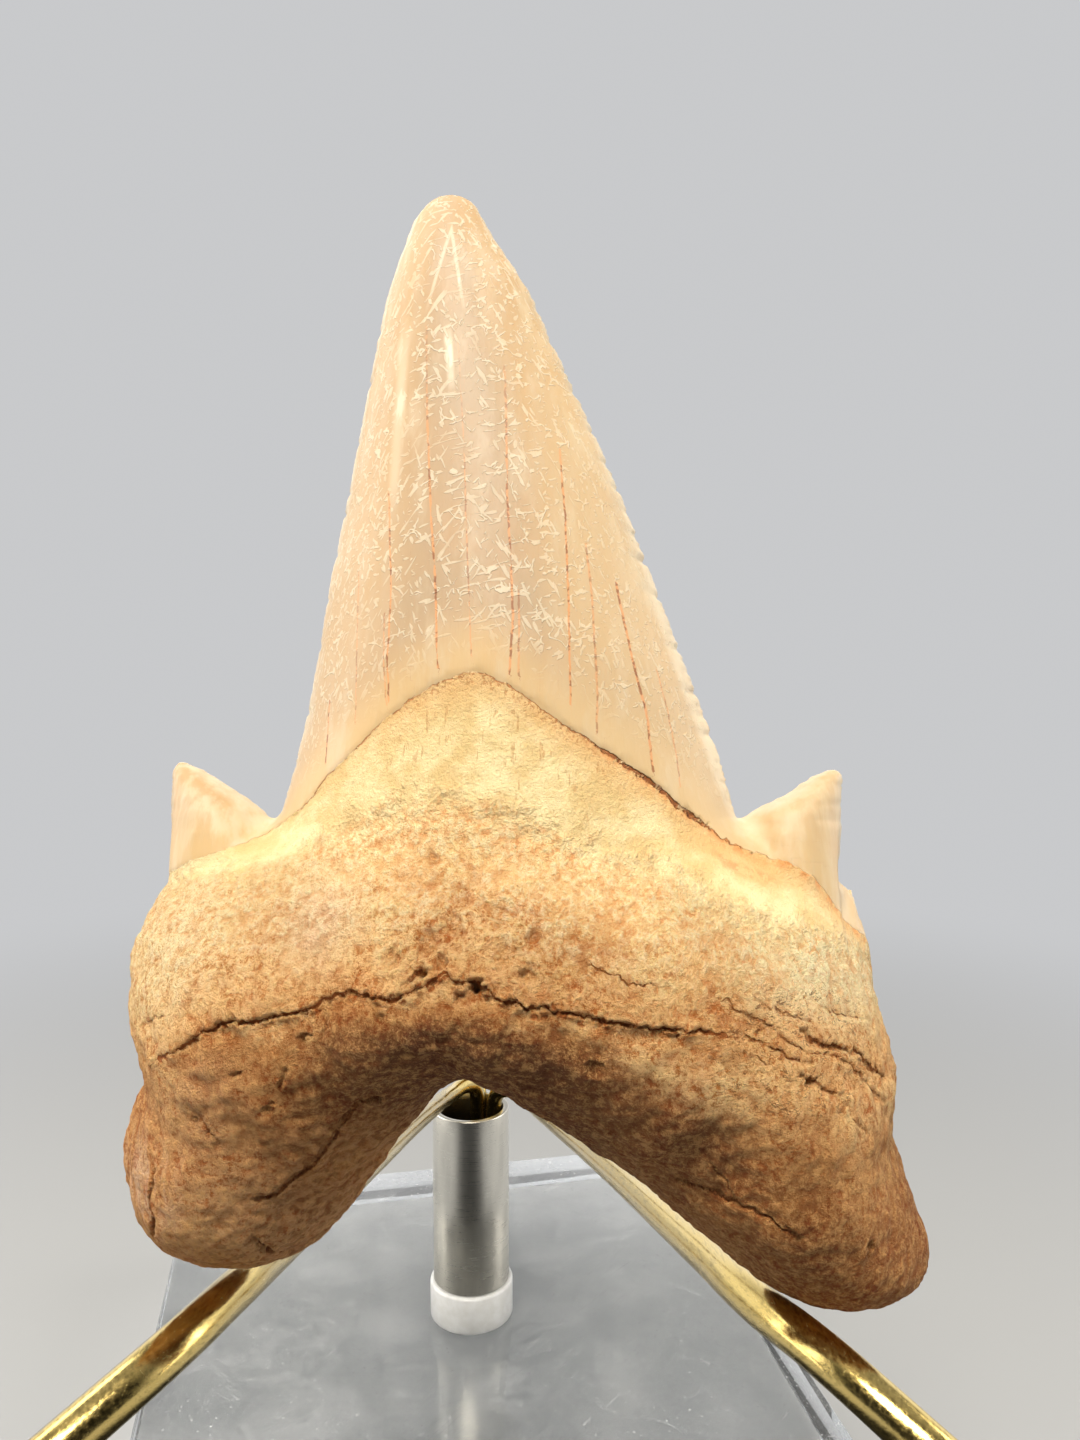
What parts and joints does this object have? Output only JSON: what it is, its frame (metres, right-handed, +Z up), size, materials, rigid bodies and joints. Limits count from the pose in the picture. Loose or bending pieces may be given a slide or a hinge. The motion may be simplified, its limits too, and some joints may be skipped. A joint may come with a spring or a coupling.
{
  "type": "fossil shark tooth on a stand",
  "caption": "Large triangular fossil shark tooth with side cusplets and a two-lobed root, held upright by bent brass rods from a steel post on a clear square block.",
  "frame": {"origin": "on the axis of the post, at the underside of the base block", "axes": "+Z up, -Y the way the arms reach out and the tooth's bulging inner face looks, +X to the right of a viewer who faces the tooth"},
  "size_m": [0.1198, 0.1893, 0.1633],
  "materials": {
    "fossil": "glossy tan enamel crown over a matt, porous brown root, with cracks and pits",
    "clear_acrylic": "clear and polished, with fine scratches",
    "satin_steel": "satin",
    "frosted_plastic": "translucent whitish",
    "polished_brass": "polished, lightly scratched"
  },
  "bodies": {
    "root": {"shark_tooth": "fossil", "base_block": "clear_acrylic", "post_tube": "satin_steel", "post_ferrule": "frosted_plastic", "left_arm": "polished_brass", "right_arm": "polished_brass", "back_arm": "polished_brass"}
  },
  "joints": []
}
